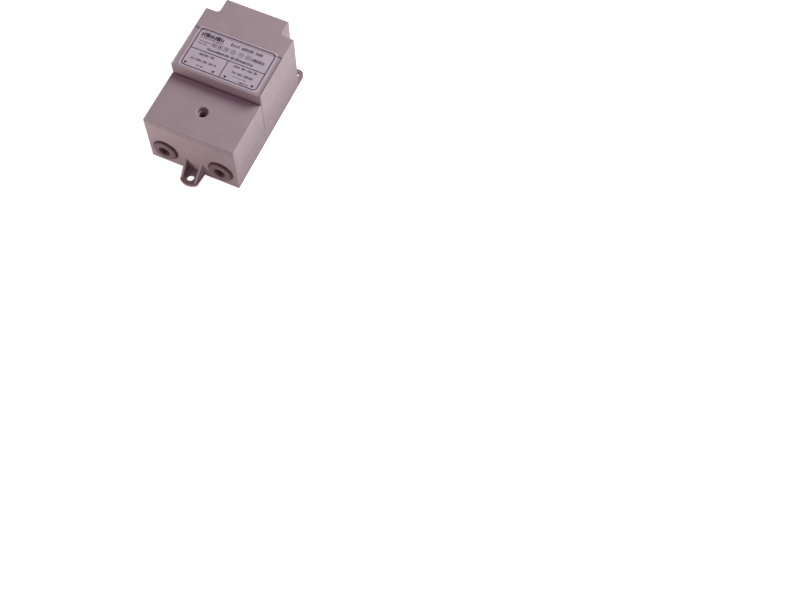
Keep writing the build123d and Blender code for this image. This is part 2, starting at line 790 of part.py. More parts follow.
# Terminal blocks with two poles each, their brass clamps and clamp screws
terminal_parts = []
for winding, side in (("primary", -1), ("secondary", 1)):
    poles = [(side * pole_inner, block_mid_y), (side * pole_outer, block_mid_y)]
    with BuildPart() as block:
        with BuildSketch(Plane.XY.offset(bench_height)):
            with Locations((side * block_centre, block_mid_y)):
                Rectangle(block_length_x, block_depth)
        extrude(amount=block_foot_height)
        with BuildSketch(Plane.XY.offset(bench_height)):
            with Locations(*poles):
                Rectangle(pole_width, block_depth)
        extrude(amount=pole_height)
        with BuildSketch(Plane.XY.offset(cage_floor)):
            with Locations(*poles):
                Rectangle(clamp_cage_width + 2 * cage_clearance, cage_depth)
        extrude(amount=clamp_cage_height + cage_clearance, mode=Mode.SUBTRACT)
        with BuildSketch(Plane.XY.offset(cage_top)):
            with Locations(*poles):
                Circle(driver_hole_radius)
        extrude(amount=pole_height, mode=Mode.SUBTRACT)
        with BuildSketch(Plane.XZ.offset(-block_mid_y)):
            with Locations(*[(x, wire_z) for x, y in poles]):
                Circle(wire_entry_radius)
        extrude(amount=block_depth, both=True, mode=Mode.SUBTRACT)
        with Locations((side * block_centre, block_mid_y, bench_height)):
            Cylinder(block_screw_radius + screw_clearance, pole_height, mode=Mode.SUBTRACT)
    block.part.label = f"{winding}_terminal_block"

    with BuildPart() as cages:
        with BuildSketch(Plane.XY.offset(cage_floor)):
            with Locations(*poles):
                Rectangle(clamp_cage_width, cage_depth - 2 * cage_clearance)
        extrude(amount=clamp_cage_height)
        with BuildSketch(Plane.XZ.offset(-block_mid_y)):
            with Locations(*[(x, wire_z) for x, y in poles]):
                Circle(wire_entry_radius)
        extrude(amount=block_depth, both=True, mode=Mode.SUBTRACT)
        with BuildSketch(Plane.XY.offset(wire_z)):
            with Locations(*poles):
                Circle(terminal_screw_radius + pilot_clearance)
        extrude(amount=clamp_cage_height, mode=Mode.SUBTRACT)
    cages.part.label = f"{winding}_clamps"

    with BuildPart() as screws:
        for x, y in poles:
            with Locations((x, y, cage_top + terminal_screw_stand)):
                slotted_screw(
                    terminal_screw_head_radius,
                    terminal_screw_head_height,
                    terminal_screw_radius,
                    terminal_screw_length,
                )
    screws.part.label = f"{winding}_clamp_screws"
    terminal_parts += [block.part, cages.part, screws.part]

# Screws that hold the terminal blocks to the bench
with BuildPart() as block_screws:
    for side in (-1, 1):
        with Locations((side * block_centre, block_mid_y, bench_height + block_foot_height)):
            slotted_screw(
                block_screw_head_radius,
                block_screw_head_height,
                block_screw_radius,
                block_screw_length,
            )
block_screws.part.label = "block_screws"

# Cable clamps: an arched bar on two posts
clamp_parts = []
for hand, side in (("left", -1), ("right", 1)):
    with BuildPart() as clamp:
        with BuildSketch(Plane.XZ.offset(-clamp_y)):
            with Locations((side * grommet_spread, clamp_post_height)):
                Rectangle(clamp_length, clamp_thickness, align=FRONT_EDGE)
            with Locations((side * grommet_spread, clamp_post_height + clamp_arch_rise - clamp_arch_radius)):
                Circle(clamp_arch_radius, mode=Mode.SUBTRACT)
        extrude(amount=clamp_width / 2, both=True)
        with BuildSketch(Plane.XY.offset(clamp_post_height)):
            with Locations(*[place for place in clamp_post_places if place[0] * side > 0]):
                Circle(clamp_screw_radius + screw_clearance)
        extrude(amount=clamp_thickness, mode=Mode.SUBTRACT)
    clamp.part.label = f"cable_clamp_{hand}"
    clamp_parts.append(clamp.part)

with BuildPart() as cable_clamp_screws:
    for x, y in clamp_post_places:
        with Locations((x, y, clamp_post_height + clamp_thickness)):
            slotted_screw(
                clamp_screw_head_radius,
                clamp_screw_head_height,
                clamp_screw_radius,
                clamp_screw_length,
            )
cable_clamp_screws.part.label = "cable_clamp_screws"

pieces = [
    housing.part,
    terminal_cover.part,
    cover_screw.part,
    rating_label.part,
    base_plate.part,
    base_screws.part,
    core_e_sheets.part,
    core_i_sheets.part,
    core_bolts.part,
    core_nuts.part,
    coil_former.part,
    thermal_cutout.part,
    solder_tags.part,
    block_screws.part,
    cable_clamp_screws.part,
]
pieces += grommets + coil_parts + lead_parts + terminal_parts + clamp_parts

os.makedirs("parts", exist_ok=True)
for piece in pieces:
    export_step(piece, f"parts/{piece.label}.step")
print(f"overall {body_width:.1f} x {body_length + front_lug_reach:.1f} x {body_height + label_thickness:.1f} mm")
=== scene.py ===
"""Looks of an enclosed safety transformer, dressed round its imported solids.

Everything is in metres in the part's own frame: +Z up, front wall with the grommets towards -Y, origin in
the middle of the footprint. Fields and values that end in _mm are in millimetres.
"""

import functools
import logging
import math
import random
from dataclasses import dataclass
from enum import Enum

import bmesh
import bpy
from mathutils import Matrix, Vector


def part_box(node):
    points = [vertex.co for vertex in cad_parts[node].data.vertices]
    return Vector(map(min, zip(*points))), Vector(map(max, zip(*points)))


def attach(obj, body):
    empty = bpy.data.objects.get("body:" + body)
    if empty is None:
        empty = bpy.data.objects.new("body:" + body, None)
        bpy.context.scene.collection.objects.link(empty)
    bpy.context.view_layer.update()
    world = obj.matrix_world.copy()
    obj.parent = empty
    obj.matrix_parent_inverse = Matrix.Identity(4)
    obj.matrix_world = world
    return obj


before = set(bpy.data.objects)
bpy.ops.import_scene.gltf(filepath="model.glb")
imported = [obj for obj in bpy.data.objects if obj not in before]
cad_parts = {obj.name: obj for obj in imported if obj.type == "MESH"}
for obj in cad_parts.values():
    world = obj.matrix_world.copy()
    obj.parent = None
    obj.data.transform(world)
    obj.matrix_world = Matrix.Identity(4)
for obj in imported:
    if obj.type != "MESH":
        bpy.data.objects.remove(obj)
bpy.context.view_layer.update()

Colour = tuple[float, float, float]
Point = tuple[float, float, float]
Place = tuple[float, float]
Range = tuple[float, float]
Socket = bpy.types.NodeSocket
Input = Socket | float | tuple[float, ...]

MM = 0.001
BODY = "root"
WHITE: Colour = (1.0, 1.0, 1.0)
# Share of red, green and blue that grime and painted shade leave of a colour
GRIME_AND_SHADE_KEEPS: Colour = (0.43, 0.31, 0.335)
# Range that most of a noise texture's values lie in
NOISE_RANGE: Range = (0.3, 0.7)
# Length of one band of the wave texture at a scale of 1
WAVE_LENGTH = math.tau / 20.0

log = logging.getLogger("safety_transformer")


class Slot(Enum):
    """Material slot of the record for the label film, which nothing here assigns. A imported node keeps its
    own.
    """

    LABEL = "label_film"


class Stripe(Enum):
    """Axis along which a striped finish repeats."""

    ALONG_Y = "Y"
    ALONG_Z = "Z"


def scale_for(size_mm: float) -> float:
    """Texture scale whose features are about that many millimetres across."""
    return 1.0 / (size_mm * MM)


@dataclass(frozen=True)
class ShaderBoard:
    """Node tree of a material, a world or a group, with short calls to add nodes and to join them."""

    tree: bpy.types.NodeTree

    def add(self, kind: str, settings: dict[str, object] | None = None, **sockets: Input) -> bpy.types.Node:
        """Adds a node and fills its inputs.

        Args:
            kind: Node type, without its ShaderNode prefix.
            settings: Properties of the node by name.
            sockets: Inputs by name, with underscores for spaces. A socket is joined, anything else is set.

        Returns:
            The new node.
        """
        node = self.tree.nodes.new(f"ShaderNode{kind}")
        for name, value in (settings or {}).items():
            setattr(node, name, value)
        for name, value in sockets.items():
            self.fill(node.inputs[name.replace("_", " ")], value)
        return node

    def fill(self, target: Socket, value: Input) -> None:
        """Joins a socket to an input, or sets the input's own value.

        Args:
            target: Input socket.
            value: Output socket, number, direction or colour.
        """
        if isinstance(value, Socket):
            self.tree.links.new(value, target)
        elif isinstance(value, tuple) and target.type == "RGBA":
            target.default_value = (*value, 1.0)
        else:
            target.default_value = value

    def calc(self, operation: str, first: Input, second: Input = 0.0, clamp: bool = False) -> Socket:
        """Works out a number from two others.

        Args:
            operation: Name of the Math node's operation.
            first: First number or socket.
            second: Second number or socket.
            clamp: Whether the result stays between 0 and 1.

        Returns:
            The result's socket.
        """
        node = self.add("Math", {"operation": operation, "use_clamp": clamp})
        self.fill(node.inputs[0], first)
        self.fill(node.inputs[1], second)
        return node.outputs[0]

    def dot(self, first: Input, second: Input) -> Socket:
        """Works out how far two directions agree.

        Args:
            first: First direction or socket.
            second: Second direction or socket.

        Returns:
            The socket of their dot product.
        """
        node = self.add("VectorMath", {"operation": "DOT_PRODUCT"})
        self.fill(node.inputs[0], first)
        self.fill(node.inputs[1], second)
        return node.outputs["Value"]

    def ramp(self, value: Input, source: Range, to_low: float = 0.0, to_high: float = 1.0) -> Socket:
        """Maps one range of numbers onto another, clamped.

        Args:
            value: Number or socket to map.
            source: Start and end of the range it comes from.
            to_low: Start of the range it goes to.
            to_high: End of the range it goes to.

        Returns:
            The mapped number's socket.
        """
        low, high = source
        node = self.add("MapRange", Value=value, From_Min=low, From_Max=high, To_Min=to_low, To_Max=to_high)
        return node.outputs["Result"]

    def blend(self, share: Input, first: Input, second: Input) -> Socket:
        """Blends two colours.

        Args:
            share: How much of the second colour there is.
            first: First colour or socket.
            second: Second colour or socket.

        Returns:
            The blended colour's socket.
        """
        node = self.add("Mix", {"data_type": "RGBA", "blend_type": "MIX"})
        self.fill(node.inputs["Factor"], share)
        self.fill(next(s for s in node.inputs if s.identifier == "A_Color"), first)
        self.fill(next(s for s in node.inputs if s.identifier == "B_Color"), second)
        return next(s for s in node.outputs if s.identifier == "Result_Color")

    def relief(self, height: Socket, strength: float, depth_mm: float, **sockets: Input) -> Socket:
        """Works out the normal of a surface with fine relief.

        Args:
            height: Socket of the relief's height.
            strength: How much of the relief there is.
            depth_mm: Depth of the relief.
            sockets: Further inputs of the Bump node by name.

        Returns:
            The normal's socket.
        """
        node = self.add("Bump", Height=height, Strength=strength, Distance=depth_mm * MM, **sockets)
        return node.outputs["Normal"]

    def place(self) -> Socket:
        """Socket of the object coordinates, which are the part's own frame."""
        return self.add("TexCoord").outputs["Object"]

    def group(self, tree: bpy.types.NodeTree, **sockets: Input) -> bpy.types.NodeOutputs:
        """Places a shared effect, with its inputs by name, and gives its outputs."""
        return self.add("Group", {"node_tree": tree}, **sockets).outputs


def new_group(
    name: str, inputs: dict[str, str], outputs: dict[str, str]
) -> tuple[ShaderBoard, bpy.types.NodeOutputs, bpy.types.NodeInputs]:
    """Starts a shader node group.

    Args:
        name: Name of the effect.
        inputs: Socket types by input name.
        outputs: Socket types by output name.

    Returns:
        A board to fill the group with, the sockets that it is given, and the sockets of its results.
    """
    tree = bpy.data.node_groups.new(name, "ShaderNodeTree")
    for direction, sockets in (("INPUT", inputs), ("OUTPUT", outputs)):
        for socket, kind in sockets.items():
            tree.interface.new_socket(socket, in_out=direction, socket_type=f"NodeSocket{kind}")
    given = tree.nodes.new("NodeGroupInput").outputs
    results = tree.nodes.new("NodeGroupOutput").inputs
    return ShaderBoard(tree), given, results


class Effects:
    """Shared surface effects, each one node group that is built once."""

    RAY_SAMPLES = 6
    # How many times finer the gloss varies than the mottling
    GLOSS_FINENESS = 3.7
    # Cosine of the turn at which an edge starts, and at which it is at its full
    EDGE_RANGE: Range = (0.99, 0.8)
    WEAR_RANGE: Range = (0.35, 0.65)
    LEAST_WEAR = 0.25
    # Where a speck's soft rim starts and ends, as a share of its cell
    SPECK_RIM: Range = (0.08, 0.12)
    # How open a corner is where the dust and painted shade start, and where they are at their full
    DUST_AND_SHADE_RANGE: Range = (0.85, 0.25)

    @staticmethod
    @functools.cache
    def mould_grain() -> bpy.types.NodeTree:
        """Fine grain, soft colour mottling and uneven gloss of a moulded surface.

        Returns:
            Node group with the outputs Height, Tone and Gloss.
        """
        board, given, results = new_group(
            "mould_grain",
            {"Vector": "Vector", "Grain Scale": "Float", "Mottle Scale": "Float"},
            {"Height": "Float", "Tone": "Float", "Gloss": "Float"},
        )
        here = given["Vector"]
        fine = given["Grain Scale"]
        coarse = given["Mottle Scale"]
        between = board.calc("MULTIPLY", coarse, Effects.GLOSS_FINENESS)
        noises = {
            "Height": board.add("TexNoise", Vector=here, Scale=fine, Detail=2.0, Roughness=0.6),
            "Tone": board.add("TexNoise", Vector=here, Scale=coarse, Detail=3.0),
            "Gloss": board.add("TexNoise", Vector=here, Scale=between, Detail=3.0),
        }
        for name, noise in noises.items():
            board.fill(results[name], noise.outputs["Fac"])
        return board.tree

    @staticmethod
    @functools.cache
    def worn_edge() -> bpy.types.NodeTree:
        """Rounded-over edges: where they are, and the soft normal across them.

        Returns:
            Node group with the outputs Mask and Normal.
        """
        board, given, results = new_group(
            "worn_edge",
            {"Vector": "Vector", "Radius": "Float", "Breakup Scale": "Float"},
            {"Mask": "Float", "Normal": "Vector"},
        )
        rounded = board.add("Bevel", {"samples": Effects.RAY_SAMPLES}, Radius=given["Radius"])
        soft = rounded.outputs["Normal"]
        flat = board.add("NewGeometry").outputs["True Normal"]
        edge = board.ramp(board.dot(soft, flat), Effects.EDGE_RANGE)
        breakup = board.add("TexNoise", Vector=given["Vector"], Scale=given["Breakup Scale"], Detail=4.0)
        patchy = board.ramp(breakup.outputs["Fac"], Effects.WEAR_RANGE, Effects.LEAST_WEAR)
        board.fill(results["Mask"], board.calc("MULTIPLY", edge, patchy, clamp=True))
        board.fill(results["Normal"], soft)
        return board.tree

    @staticmethod
    @functools.cache
    def specks() -> bpy.types.NodeTree:
        """Sparse dark specks of dust in a moulding.

        Returns:
            Node group with the output Mask.
        """
        board, given, results = new_group(
            "specks", {"Vector": "Vector", "Scale": "Float", "Share": "Float"}, {"Mask": "Float"}
        )
        cells = board.add("TexVoronoi", Vector=given["Vector"], Scale=given["Scale"]).outputs
        dot = board.ramp(cells["Distance"], Effects.SPECK_RIM, 1.0, 0.0)
        lot = board.add("SeparateColor", Color=cells["Color"]).outputs["Red"]
        drawn = board.calc("LESS_THAN", lot, given["Share"])
        board.fill(results["Mask"], board.calc("MULTIPLY", dot, drawn))
        return board.tree

    @staticmethod
    @functools.cache
    def dust_and_corner_shade() -> bpy.types.NodeTree:
        """Darkening in inner corners: dust that settles there, and painted shade where the corners are
        closed in.

        Returns:
            Node group with the output Mask.
        """
        board, given, results = new_group(
            "dust_and_corner_shade", {"Reach": "Float", "Amount": "Float"}, {"Mask": "Float"}
        )
        openness = board.add("AmbientOcclusion", {"samples": Effects.RAY_SAMPLES}, Distance=given["Reach"])
        corner = board.ramp(openness.outputs["AO"], Effects.DUST_AND_SHADE_RANGE)
        board.fill(results["Mask"], board.calc("MULTIPLY", corner, given["Amount"], clamp=True))
        return board.tree

    @staticmethod
    @functools.cache
    def foot_shade() -> bpy.types.NodeTree:
        """Painted shade that thins out upwards from the floor, but not on faces turned to the front or the
        rear.

        Returns:
            Node group with the output Mask.
        """
        board, given, results = new_group(
            "foot_shade", {"Vector": "Vector", "Height": "Float", "Amount": "Float"}, {"Mask": "Float"}
        )
        level = board.add("SeparateXYZ", Vector=given["Vector"]).outputs["Z"]
        nearness = board.calc("SUBTRACT", 1.0, board.calc("DIVIDE", level, given["Height"]), clamp=True)
        flat = board.add("NewGeometry").outputs["True Normal"]
        lengthwise = board.calc("ABSOLUTE", board.add("SeparateXYZ", Vector=flat).outputs["Y"])
        sideways = board.calc("SUBTRACT", 1.0, lengthwise, clamp=True)
        most = board.calc("MULTIPLY", sideways, given["Amount"])
        board.fill(results["Mask"], board.calc("MULTIPLY", nearness, most))
        return board.tree


def new_material(name: str) -> tuple[bpy.types.Material, ShaderBoard, bpy.types.NodeInputs]:
    """Starts a material with one Principled shader.

    Args:
        name: Name of the finish.

    Returns:
        The material, a board for its nodes, and the inputs of the Principled node.
    """
    material = bpy.data.materials.new(name)
    material.use_nodes = True
    board = ShaderBoard(material.node_tree)
    shader = next(node for node in board.tree.nodes if node.type == "BSDF_PRINCIPLED")
    return material, board, shader.inputs


@dataclass(frozen=True)
class TurnedShade:
    """Painted shade on faces that are turned to an axis, with the cosines at which it starts and is at its
    full.
    """

    axis: Point
    cosines: Range
    amount: float

    def share(self, board: ShaderBoard, facing: Socket) -> Socket:
        """How much painted shade each place takes, from the way that it faces."""
        return board.ramp(board.dot(facing, self.axis), self.cosines, 0.0, self.amount)


@dataclass(frozen=True)
class RimShade:
    """Painted shade round the rim of a round piece in the front wall, and of its twin on the other side."""

    node: str
    starts_mm: float
    full_mm: float
    amount: float

    def share(self, board: ShaderBoard, here: Socket) -> Socket:
        """Works out how much painted shade each place takes from its distance to the piece's axis.

        Args:
            board: Board of the material.
            here: Socket of the object coordinates.

        Returns:
            The share's socket.
        """
        low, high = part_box(self.node)
        rim = (high.x - low.x) / 2
        place = board.add("SeparateXYZ", Vector=here).outputs
        across = board.calc("SUBTRACT", board.calc("ABSOLUTE", place["X"]), abs(low.x + high.x) / 2)
        upward = board.calc("SUBTRACT", place["Z"], (low.z + high.z) / 2)
        squares = board.calc("ADD", board.calc("POWER", across, 2.0), board.calc("POWER", upward, 2.0))
        reach = board.calc("SQRT", squares)
        return board.ramp(reach, (rim - self.starts_mm * MM, rim - self.full_mm * MM), 0.0, self.amount)


@dataclass(frozen=True)
class MouldedFinish:
    """Moulded plastic or rubber: fine grain, soft mottling, specks, worn edges, grime and painted shade."""

    name: str
    colour: Colour
    roughness: float = 0.5
    shine: float = 0.5
    gloss_spread: float = 0.12
    grain_mm: float = 0.45
    grain_depth_mm: float = 0.012
    grain_strength: float = 0.5
    mottle_mm: float = 16.0
    mottle_depth: float = 0.04
    edge_radius_mm: float = 0.4
    edge_lift: float = 0.25
    edge_patch_mm: float = 6.0
    speck_share: float = 0.15
    speck_mm: float = 6.0
    speck_amount: float = 0.7
    # Reach and amount of the corner darkening, which is dust and painted shade
    dust_shade_mm: float = 1.6
    dust_shade_amount: float = 0.5
    # Height and amount of the painted shade that darkens the sides towards the floor
    foot_mm: float = 42.0
    foot_amount: float = 0.0
    turned: TurnedShade | None = None
    rim: RimShade | None = None

    def grime_and_shade(self, board: ShaderBoard, here: Socket, facing: Socket) -> list[Socket]:
        """Works out where the grime and the painted shade lie.

        Args:
            board: Board of the material.
            here: Socket of the object coordinates.
            facing: Socket of the soft normal.

        Returns:
            The masks of the kinds of grime and painted shade, in the order in which they are laid on.
        """
        masks = [
            board.group(Effects.dust_and_corner_shade(), Reach=self.dust_shade_mm * MM, Amount=self.dust_shade_amount)["Mask"],
            board.group(
                Effects.foot_shade(), Vector=here, Height=self.foot_mm * MM, Amount=self.foot_amount
            )["Mask"],
        ]
        if self.turned:
            masks.append(self.turned.share(board, facing))
        if self.rim:
            masks.append(self.rim.share(board, here))
        speck = board.group(
            Effects.specks(), Vector=here, Scale=scale_for(self.speck_mm), Share=self.speck_share
        )["Mask"]
        masks.append(board.calc("MULTIPLY", speck, self.speck_amount))
        return masks

    @functools.cache
    def material(self) -> bpy.types.Material:
        """Builds the finish once.

        Returns:
            The material.
        """
        material, board, shader = new_material(self.name)
        here = board.place()
        grain = board.group(
            Effects.mould_grain(),
            Vector=here,
            Grain_Scale=scale_for(self.grain_mm),
            Mottle_Scale=scale_for(self.mottle_mm),
        )
        edge = board.group(
            Effects.worn_edge(),
            Vector=here,
            Radius=self.edge_radius_mm * MM,
            Breakup_Scale=scale_for(self.edge_patch_mm),
        )
        darker = tuple(c * (1 - self.mottle_depth) for c in self.colour)
        lighter = tuple(min(1.0, c * (1 + self.mottle_depth)) for c in self.colour)
        worn = tuple(c + (1 - c) * self.edge_lift for c in self.colour)
        # Darker tone that the grime and the painted shade blend towards
        grime_and_shade_tone = tuple(c * kept for c, kept in zip(self.colour, GRIME_AND_SHADE_KEEPS))
        tone = board.blend(board.ramp(grain["Tone"], NOISE_RANGE), darker, lighter)
        tone = board.blend(edge["Mask"], tone, worn)
        for mask in self.grime_and_shade(board, here, edge["Normal"]):
            tone = board.blend(mask, tone, grime_and_shade_tone)
        board.fill(shader["Base Color"], tone)
        board.fill(shader["Specular IOR Level"], self.shine)
        low = self.roughness - self.gloss_spread / 2
        gloss = board.ramp(grain["Gloss"], NOISE_RANGE, low, low + self.gloss_spread)
        board.fill(shader["Roughness"], gloss)
        grained = board.relief(
            grain["Height"], self.grain_strength, self.grain_depth_mm, Normal=edge["Normal"]
        )
        board.fill(shader["Normal"], grained)
        return material


@dataclass(frozen=True)
class InkFinish:
    """Screen-printed ink with thin and thick places."""

    name: str
    colour: Colour
    thin_colour: Colour
    roughness: float = 0.55
    most_roughness: float = 0.7
    grain_mm: float = 0.2
    patch_mm: float = 1.4
    thin_range: Range = (0.35, 0.75)

    @functools.cache
    def material(self) -> bpy.types.Material:
        """Builds the finish once.

        Returns:
            The material.
        """
        material, board, shader = new_material(self.name)
        grain = board.group(
            Effects.mould_grain(),
            Vector=board.place(),
            Grain_Scale=scale_for(self.grain_mm),
            Mottle_Scale=scale_for(self.patch_mm),
        )
        thin = board.ramp(grain["Tone"], self.thin_range)
        board.fill(shader["Base Color"], board.blend(thin, self.colour, self.thin_colour))
        gloss = board.ramp(grain["Gloss"], NOISE_RANGE, self.roughness, self.most_roughness)
        board.fill(shader["Roughness"], gloss)
        return material


@dataclass(frozen=True)
class MetalFinish:
    """Bare or plated metal with fine scratches and tarnish in patches."""

    name: str
    colour: Colour
    tarnish: Colour
    roughness: float = 0.3
    gloss_shares: Range = (0.8, 1.5)
    scratch_mm: float = 0.25
    scratch_depth_mm: float = 0.004
    scratch_strength: float = 0.3
    patch_mm: float = 4.0
    tarnish_range: Range = (0.45, 0.75)
    tarnish_most: float = 0.8
    edge_radius_mm: float = 0.2
    edge_patch_mm: float = 2.0
    edge_shine: float = 1.15

    @functools.cache
    def material(self) -> bpy.types.Material:
        """Builds the finish once.

        Returns:
            The material.
        """
        material, board, shader = new_material(self.name)
        here = board.place()
        grain = board.group(
            Effects.mould_grain(),
            Vector=here,
            Grain_Scale=scale_for(self.scratch_mm),
            Mottle_Scale=scale_for(self.patch_mm),
        )
        edge = board.group(
            Effects.worn_edge(),
            Vector=here,
            Radius=self.edge_radius_mm * MM,
            Breakup_Scale=scale_for(self.edge_patch_mm),
        )
        bright = tuple(min(1.0, c * self.edge_shine) for c in self.colour)
        tarnished = board.ramp(grain["Tone"], self.tarnish_range, 0.0, self.tarnish_most)
        tone = board.blend(tarnished, self.colour, self.tarnish)
        board.fill(shader["Base Color"], board.blend(edge["Mask"], tone, bright))
        board.fill(shader["Metallic"], 1.0)
        low, high = (self.roughness * share for share in self.gloss_shares)
        board.fill(shader["Roughness"], board.ramp(grain["Gloss"], NOISE_RANGE, low, high))
        scratched = board.relief(
            grain["Height"], self.scratch_strength, self.scratch_depth_mm, Normal=edge["Normal"]
        )
        board.fill(shader["Normal"], scratched)
        return material


@dataclass(frozen=True)
class StripedFinish:
    """Surface made of many thin layers or turns side by side, such as core sheets or wound wire."""

    name: str
    colour: Colour
    groove: Colour
    pitch_mm: float
    along: Stripe
    depth_mm: float
    roughness: float = 0.4
    gloss_shares: Range = (0.85, 1.25)
    metallic: float = 0.0
    waver: float = 1.5
    grain_mm: float = 0.4
    mottle_mm: float = 6.0
    mottle_keeps: float = 0.8
    groove_range: Range = (0.0, 0.45)
    groove_strength: float = 0.8

    @functools.cache
    def material(self) -> bpy.types.Material:
        """Builds the finish once.

        Returns:
            The material.
        """
        material, board, shader = new_material(self.name)
        here = board.place()
        bands = board.add(
            "TexWave",
            {"wave_type": "BANDS", "bands_direction": self.along.value},
            Vector=here,
            Scale=WAVE_LENGTH * scale_for(self.pitch_mm),
            Distortion=self.waver,
            Detail=2.0,
            Detail_Scale=0.05,
        ).outputs["Fac"]
        grain = board.group(
            Effects.mould_grain(),
            Vector=here,
            Grain_Scale=scale_for(self.grain_mm),
            Mottle_Scale=scale_for(self.mottle_mm),
        )
        darker = tuple(c * self.mottle_keeps for c in self.colour)
        tone = board.blend(board.ramp(grain["Tone"], NOISE_RANGE), darker, self.colour)
        groove = board.ramp(bands, self.groove_range, 1.0, 0.0)
        board.fill(shader["Base Color"], board.blend(groove, tone, self.groove))
        board.fill(shader["Metallic"], self.metallic)
        low, high = (self.roughness * share for share in self.gloss_shares)
        board.fill(shader["Roughness"], board.ramp(grain["Gloss"], NOISE_RANGE, low, high))
        board.fill(shader["Normal"], board.relief(bands, self.groove_strength, self.depth_mm))
        return material


HOUSING_GREY = MouldedFinish(
    "housing_grey",
    (0.385, 0.300, 0.330),
    edge_radius_mm=0.7,
    edge_lift=0.08,
    # Darkening in inner corners here is dust and painted shade
    dust_shade_amount=0.15,
    # Painted shade, darker towards the floor
    foot_amount=0.5,
)
COVER_GREY = MouldedFinish(
    "cover_grey",
    (0.385, 0.300, 0.330),
    mottle_mm=18.0,
    edge_radius_mm=0.7,
    edge_lift=0.08,
    # Painted shade, darker towards the floor
    foot_amount=0.5,
    # Painted shade on the rounded front-top edge, whose faces turn up and to the front
    turned=TurnedShade(axis=(0.0, -0.7071, 0.7071), cosines=(0.85, 0.97), amount=0.35),
)
GROMMET_RUBBER = MouldedFinish(
    "grommet_rubber",
    (0.205, 0.138, 0.158),
    roughness=0.6,
    shine=0.2,
    grain_mm=0.25,
    grain_depth_mm=0.008,
    mottle_mm=5.0,
    mottle_depth=0.1,
    speck_share=0.0,
    edge_lift=0.08,
    # Strong darkening where the lip meets the wall: painted shade, with some dust
    dust_shade_mm=3.0,
    dust_shade_amount=0.9,
    # Painted shade round the outer rim of each grommet's lip
    rim=RimShade("grommet_right", starts_mm=1.6, full_mm=0.5, amount=0.9),
)
LABEL_FILM = MouldedFinish(
    "label_film",
    (0.53, 0.452, 0.525),
    roughness=0.38,
    grain_mm=0.8,
    grain_depth_mm=0.003,
    mottle_mm=9.0,
    speck_share=0.012,
    edge_radius_mm=0.15,
    dust_shade_amount=0.1,
)
LABEL_INK = InkFinish("label_ink", (0.012, 0.008, 0.012), (0.045, 0.033, 0.045))
PLATED_STEEL = MetalFinish("plated_steel", (0.60, 0.60, 0.62), (0.42, 0.40, 0.38))
# Near-black steel for the cover screw: its darkness is painted shade for the bottom of the screw's deep
# well
DARK_WELL_STEEL = MetalFinish(
    "dark_well_steel", (0.040, 0.037, 0.038), (0.028, 0.024, 0.023), roughness=0.42
)
TERMINAL_BRASS = MetalFinish("terminal_brass", (0.72, 0.54, 0.26), (0.45, 0.31, 0.14), roughness=0.28)
CORE_SHEETS = StripedFinish(
    "core_sheets",
    (0.26, 0.26, 0.28),
    (0.05, 0.045, 0.04),
    pitch_mm=0.5,
    along=Stripe.ALONG_Y,
    depth_mm=0.04,
    roughness=0.42,
    metallic=1.0,
)
COPPER_TURNS = StripedFinish(
    "copper_turns",
    (0.50, 0.19, 0.07),
    (0.10, 0.03, 0.01),
    pitch_mm=0.62,
    along=Stripe.ALONG_Z,
    depth_mm=0.18,
    roughness=0.3,
    metallic=0.6,
)
TAPE_WRAP = StripedFinish(
    "tape_wrap",
    (0.62, 0.46, 0.09),
    (0.45, 0.32, 0.05),
    pitch_mm=7.0,
    along=Stripe.ALONG_Z,
    depth_mm=0.03,
    roughness=0.3,
    waver=0.4,
)
FORMER_BLACK = MouldedFinish(
    "former_black", (0.030, 0.030, 0.033), roughness=0.42, mottle_mm=8.0, edge_lift=0.1
)
CUTOUT_BLACK = MouldedFinish(
    "cutout_black", (0.022, 0.022, 0.024), roughness=0.35, mottle_mm=4.0, edge_lift=0.1
)
TERMINAL_CREAM = MouldedFinish("terminal_cream", (0.60, 0.58, 0.52), roughness=0.48, mottle_mm=8.0)
BROWN_LEAD = MouldedFinish("brown_lead", (0.085, 0.030, 0.015), roughness=0.4, grain_mm=0.3, mottle_mm=3.0)
BLACK_LEAD = MouldedFinish("black_lead", (0.020, 0.020, 0.024), roughness=0.4, grain_mm=0.3, mottle_mm=3.0)

Finish = MouldedFinish | InkFinish | MetalFinish | StripedFinish


def give_finish(node: str, finish: Finish) -> None:
    """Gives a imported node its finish.

    Args:
        node: Name of the node.
        finish: Finish whose material it takes.
    """
    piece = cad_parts[node]
    if not piece.material_slots:
        piece.data.materials.append(finish.material())
    for slot in piece.material_slots:
        slot.material = finish.material()
    log.info("dressed %s in %s", node, finish.name)


def mesh_data(name: str, mesh: bmesh.types.BMesh, material: bpy.types.Material) -> bpy.types.Mesh:
    """Turns a bmesh into mesh data.

    Args:
        name: Name of the data.
        mesh: Shape in its place. It is freed here.
        material: Material that the whole shape takes.

    Returns:
        The mesh data.
    """
    data = bpy.data.meshes.new(name)
    mesh.to_mesh(data)
    mesh.free()
    data.materials.append(material)
    return data


def put_in_scene(name: str, data: bpy.types.ID) -> bpy.types.Object:
    """Makes an object of a mesh, a light or a camera and puts it in the scene.

    Args:
        name: Name of the object.
        data: What it holds.

    Returns:
        The object.
    """
    item = bpy.data.objects.new(name, data)
    bpy.context.scene.collection.objects.link(item)
    return item


def add_piece(name: str, mesh: bmesh.types.BMesh, finish: Finish) -> None:
    """Turns a bmesh into a piece that rides on the part.

    Args:
        name: Name of the piece.
        mesh: Its shape, in place. It is freed here.
        finish: Finish whose material it takes.
    """
    data = mesh_data(name, mesh, finish.material())
    piece = put_in_scene(name, data)
    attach(piece, BODY)
    log.info("built %s with %d faces in %s", name, len(data.polygons), finish.name)


